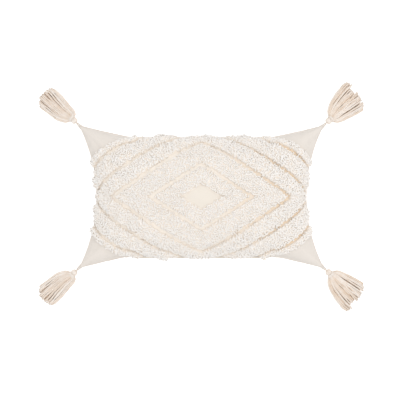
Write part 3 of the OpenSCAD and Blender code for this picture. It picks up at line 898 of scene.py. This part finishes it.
# Each clump of the skirt: its middle across the width, its half width, and how much longer it is
TASSELS = {
    "left": {
        "bearing": math.radians(44), "length": 0.100, "width": 0.054,
        "swell": 0.3, "slant": 0.0, "bow": -0.0045, "strands": 120, "seed": 611,
        "clumps": [(-0.76, 0.24, -0.002), (-0.12, 0.4, 0.001), (0.62, 0.34, 0.0)],
    },
    "right": {
        "bearing": math.radians(41), "length": 0.099, "width": 0.072,
        "swell": 0.45, "slant": 0.006, "bow": 0.0025, "strands": 160, "seed": 617,
        "clumps": [(-0.75, 0.27, 0.0), (-0.2, 0.3, -0.001), (0.3, 0.2, -0.008), (0.78, 0.26, 0.002)],
    },
}


def tassel_place(x, y, slope):
    """The frame of a corner's tassel: +X runs out along it, from the hanging loop's centre."""
    sx, sy = SIDES_X[x], SIDES_Y[y]
    low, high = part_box("corner_eye_" + y + "_" + x)
    bearing = TASSELS[x]["bearing"]
    turn = Matrix.Rotation(math.atan2(sy * math.sin(bearing), sx * math.cos(bearing)), 4, "Z")
    out = Matrix.Translation((LOOP_R, 0, 0)) @ Matrix.Rotation(slope, 4, "Y")
    return Matrix.Translation((low + high) / 2) @ turn @ out


def circle(points, radius):
    angle = 2 * np.pi * np.arange(points) / points
    return radius * np.cos(angle), radius * np.sin(angle)


def eye_stitches(name):
    """Buttonhole stitches worked round the eye at the corner, with the whipping of the tip."""
    stitches, points = 30, 12
    bearing = 2 * np.pi * np.arange(stitches) / stitches
    turn = 2 * np.pi * np.arange(points) / points
    middle, half_w = (EYE_R + EYE_BORE) / 2, (EYE_R - EYE_BORE) / 2
    square_off = lambda wave: np.sign(wave) * np.abs(wave) ** 0.6
    out = middle + (half_w - 0.00012) * square_off(np.cos(turn))
    up = (EYE_H / 2 - 0.00015) * square_off(np.sin(turn))
    x, y = out * np.cos(bearing)[:, None], out * np.sin(bearing)[:, None]
    paths = np.stack([x, y, np.broadcast_to(up, x.shape)], -1)
    sideways = np.stack([-np.sin(bearing), np.cos(bearing), np.zeros(stitches)], -1)
    worked = tubes(name, paths, EYE_THREAD_R, sideways, 6, closed=True, girth=0.0016)
    return join(name, [worked, tip_whipping(name + "_whipping")])


def tip_whipping(name):
    """Thread wound round the folded tip of the cover, up to the eye."""
    turns, steps = 19, 18
    done = np.arange(turns * steps + 1) / (turns * steps)
    angle = 2 * np.pi * np.arange(len(done)) / steps
    along = -EYE_BORE - 0.0003 - WHIPPED_L * done
    taper = WHIPPED_TAPER + (1 - WHIPPED_TAPER) * done
    half_w, half_t = WHIPPED_W * taper, WHIPPED_T * taper
    coil = np.stack([along, half_w * np.cos(angle), half_t * np.sin(angle)], -1)
    thread = tubes(name, coil[None], WHIPPING_R, np.array([1.0, 0, 0]), 6, girth=0.0018)
    core = np.stack([along[::6], half_w[::6] - 0.0001, half_t[::6] - 0.0001], -1)
    y, z = circle(CORE_SIDES, 1.0)
    x = np.broadcast_to(core[:, :1], (len(core), CORE_SIDES))
    inside = np.stack([x, core[:, 1:2] * y, core[:, 2:] * z], -1)
    filling = ring_object(name + "_core", inside[None], -core[None, :, 0], girth=0.012)
    return join(name, [thread, filling])


def twisted_ring(name):
    """Two plies of cord twisted round each other into a ring."""
    points, turns = 96, 9
    angle = 2 * np.pi * np.arange(points) / points
    paths = []
    for phase in (0, math.pi):
        radius = LOOP_R + 0.46 * CORD_R * np.cos(turns * angle + phase)
        paths.append(np.stack([
            radius * np.cos(angle), 0.46 * CORD_R * np.sin(turns * angle + phase), radius * np.sin(angle)
        ], -1))
    # A rise of 0.8 gives the cord a little painted shade
    return tubes(name, np.array(paths), 0.54 * CORD_R, np.array([0, 1.0, 0]), 8, closed=True,
                 rise=np.full((2, points), 0.8))


def knotted_head(name, rng):
    """A ball of wound yarn, a little wider than it is high."""
    winds, points, cord = 16, 40, 0.00115
    axes = unit(rng.normal(size=(winds, 3)))
    first = unit(np.cross(axes, unit(rng.normal(size=(winds, 3)))))
    second = np.cross(axes, first)
    x, y = circle(points, HEAD_R - cord)
    slip = rng.uniform(-0.0022, 0.0022, winds)
    shrink = np.sqrt(1 - (slip / (HEAD_R - cord)) ** 2)
    paths = (x[None, :, None] * first[:, None] + y[None, :, None] * second[:, None]) * shrink[:, None, None]
    paths = paths + (axes * slip[:, None])[:, None]
    paths[..., 0] *= np.where(paths[..., 0] > 0, 0.85, 1.0)
    paths = paths * [1, HEAD_SPREAD, 1] + [HEAD_AT, 0, 0]
    wound = tubes(name, paths, cord, axes, 7, closed=True, rise=np.full(paths.shape[:2], 1.0))
    rows = 14
    turn = np.linspace(0, np.pi, rows)[:, None]
    core = HEAD_R - 1.2 * cord
    y, z = circle(CORE_SIDES, 1.0)
    rings = np.stack([
        HEAD_AT - core * np.broadcast_to(np.cos(turn), (rows, CORE_SIDES)),
        core * HEAD_SPREAD * np.sin(turn) * y, core * np.sin(turn) * z
    ], -1)[None]
    along = np.linspace(0, 0.02, rows)[None]
    # A rise of 0.8 gives the core between the winds a little painted shade
    ball = ring_object(name + "_core", rings, along, rise=np.full((1, rows), 0.8))
    return join(name, [wound, ball])


def wound_binding(name):
    """Cord wound tightly round the neck, up to the knot."""
    turns, steps, cord = 6, 26, 0.00064
    count = turns * steps + 1
    angle = 2 * np.pi * np.arange(count) / steps
    done = np.arange(count) / (count - 1)
    x = HEAD_AT + 0.0040 + (SKIRT_START + BINDING_L - HEAD_AT - 0.0045) * done
    radius = BINDING_R - cord - 0.0024 * (1 - np.minimum(1, 1.8 * done)) ** 1.5
    coil = np.stack([x, radius * np.cos(angle), radius * np.sin(angle)], -1)
    wound = tubes(name, coil[None], cord, np.array([1.0, 0, 0]), 8, rise=np.full((1, count), 1.0))
    x = SKIRT_START + 0.0003 + BINDING_L * np.array([0.02, 0.02, 0.5, 0.98, 0.98])
    full = BINDING_R - cord
    radius = np.array([NECK_R - 0.001, full - 0.0012, full, full, NECK_R - 0.001])
    y, z = (radius[:, None] * part for part in circle(2 * CORE_SIDES, 1.0))
    rings = np.stack([np.broadcast_to(x[:, None], y.shape), y, z], -1)[None]
    # A rise of 0.9 gives the sleeve under the winding a little painted shade
    sleeve = ring_object(name + "_sleeve", rings, np.linspace(0, 0.01, len(x))[None], closed=True,
                         rise=np.full((1, len(x)), 0.9))
    return join(name, [wound, sleeve])


def skirt_strands(name, shape, mirror):
    """The hanging yarns, gathered at the neck, swelling over the shoulder and parting into clumps."""
    rng = np.random.default_rng(shape["seed"])
    count = shape["strands"]
    number = np.arange(count)
    radius = np.sqrt((number + 0.5) / count)
    turn = number * math.pi * (3 - math.sqrt(5))
    side, up = radius * np.cos(turn), radius * np.sin(turn)
    middles, halves, longer = (np.array(column) for column in zip(*shape["clumps"]))
    nearest = np.argmin(np.abs(side[:, None] - middles) / halves, 1)
    gathered = middles[nearest] + (side - middles[nearest]) * GATHER
    cut = np.interp(np.abs(side), CUT_SHARES, CUT_BACK) - longer[nearest] - shape["slant"] * side
    length = shape["length"] - cut - rng.uniform(0, 0.002, count)
    t = np.linspace(0, 1, STRAND_POINTS)[None, :]
    x = SKIRT_START + 0.0004 + (length[:, None] - SKIRT_START - 0.0004) * t ** 1.25
    body = np.clip((x - SHOULDER) / (shape["length"] - END_L - SHOULDER), 0, 1)
    over = np.clip((x - SHOULDER + 0.001) / 0.001, 0, 1)
    swell_w = (shape["width"] / 2 - SHOULDER_W) * body ** shape["swell"]
    swell_t = (SKIRT_T / 2 - SHOULDER_T) * body ** SWELL_T
    half_w = NECK_R + over * (SHOULDER_W - NECK_R + swell_w)
    half_t = NECK_R + over * (SHOULDER_T - NECK_R + swell_t)
    radius = STRAND_R * (0.55 + 0.45 * np.clip(body / 0.12, 0, 1))
    parted = side[:, None] + (gathered - side)[:, None] * body ** 0.5
    drift = value_noise(x, number[:, None] * 0.02, DRIFT_CELL, shape["seed"]) * DRIFT * body
    y = (half_w - radius) * parted + drift + shape["bow"] * np.clip(3 * body, 0, 1)
    z = (half_t - radius) * up[:, None] + np.roll(drift, 7, 0) * 0.6
    paths = np.stack([x, y * mirror, z], -1)
    # Painted shade: strands nearer the middle of the bundle are darker; the random factor gives each strand
    # its own tone
    depth = np.hypot(side, up)[:, None] * rng.uniform(0.35, 1.15, count)[:, None]
    rise = np.clip(0.25 + 0.8 * depth, 0, 1) * np.ones_like(x)
    return tubes(name, paths, radius, np.array([0, 0, 1.0]), 7, rise=rise)


def tassels():
    for y in SIDES_Y:
        for x in SIDES_X:
            corner = "_" + y + "_" + x
            shape = TASSELS[x]
            slope = math.asin((SEAM_Z - SKIRT_T / 2 - FLOOR_GAP) / shape["length"])
            level, sloped = tassel_place(x, y, 0.0), tassel_place(x, y, slope)
            mirror = SIDES_X[x] * SIDES_Y[y]
            rng = np.random.default_rng(shape["seed"] + 3)
            pieces = (
                ("corner_eye", eye_stitches, (), level @ Matrix.Translation((-LOOP_R, 0, 0)), "cover"),
                ("hanging_loop", twisted_ring, (), level, "loop" + corner),
                ("tassel_head", knotted_head, (rng,), sloped, "tassel" + corner),
                ("tassel_binding", wound_binding, (), sloped, "tassel" + corner),
                ("tassel_skirt", skirt_strands, (shape, mirror), sloped, "tassel" + corner),
            )
            for node, build, extra, place, body in pieces:
                obj = build(node + corner + "_yarn", *extra)
                obj.data.transform(place)
                slot = "canvas" if node == "corner_eye" else "tassel_yarn"
                dress(obj, slot, body, node + corner)


# ---- Zip: the CAD's own pieces with their real finishes ----------------------------------------

def zip_finishes():
    finishes = {
        "zip_tape": ["zip_tape_front", "zip_tape_back"],
        "zip_teeth": ["zip_teeth_front", "zip_teeth_back"],
        "zip_metal": ["zip_top_stop", "zip_bottom_stop", "zip_slider", "zip_pull"],
    }
    for slot, nodes in finishes.items():
        for node in nodes:
            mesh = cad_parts[node].data
            mesh.materials.clear()
            mesh.materials.append(MATERIALS[slot])


# ---- Stage, light and camera -------------------------------------------------------------------

FLOOR_SIZE = 6.0
FLOOR_GLOW = 0.5
SKY_STRENGTH = 0.90
KEY_PLACE = (0.5, 0.1, 2.7)
KEY_SIZE = 1.8
KEY_POWER = 17
FRAME_W = 0.8
LENS_MM = 150
SENSOR_MM = 36
VIEW_CENTRE = (-0.0028, -0.0068)


def floor():
    half = FLOOR_SIZE / 2
    corners = [(-half, -half, 0), (half, -half, 0), (half, half, 0), (-half, half, 0)]
    obj = new_object("floor", corners, [(0, 1, 2, 3)])
    obj.location.z = -0.0002
    s = Surface("floor", 0.9)
    shade = s.noise(s.place(), 2.0)
    s.shader.inputs["Emission Color"].default_value = (1, 1, 1, 1)
    s.shader.inputs["Emission Strength"].default_value = FLOOR_GLOW
    obj.data.materials.append(s.finish(s.mix(shade, (0.93, 0.93, 0.93, 1), (0.95, 0.95, 0.95, 1))))
    # The floor throws no light up, so that its glow doesn't burn out the underside
    obj.visible_diffuse = False


def softbox(name, place, size, power):
    """A square area light that looks at the pillow."""
    light = bpy.data.lights.new(name, "AREA")
    light.shape = "SQUARE"
    light.size = size
    light.energy = power
    obj = bpy.data.objects.new(name, light)
    obj.location = place
    obj.rotation_euler = (Vector((0, 0, SEAM_Z)) - Vector(place)).to_track_quat("-Z", "Y").to_euler()
    obj.visible_camera = False
    bpy.context.scene.collection.objects.link(obj)


def studio():
    floor()
    world = bpy.data.worlds.new("studio")
    world.use_nodes = True
    world.node_tree.nodes["Background"].inputs["Color"].default_value = (1, 1, 1, 1)
    world.node_tree.nodes["Background"].inputs["Strength"].default_value = SKY_STRENGTH
    bpy.context.scene.world = world
    softbox("key", KEY_PLACE, KEY_SIZE, KEY_POWER)
    view = bpy.context.scene.view_settings
    view.view_transform = "Standard"
    view.look = "None"
    camera = bpy.data.cameras.new("camera")
    camera.lens = LENS_MM
    camera.sensor_width = SENSOR_MM
    obj = bpy.data.objects.new("camera", camera)
    obj.location = (*VIEW_CENTRE, SEAM_Z + FRAME_W * LENS_MM / SENSOR_MM)
    bpy.context.scene.collection.objects.link(obj)
    bpy.context.scene.camera = obj


stuffed_pieces()
seam_piece()
tufting()
tassels()
zip_finishes()
studio()

bpy.context.view_layer.update()
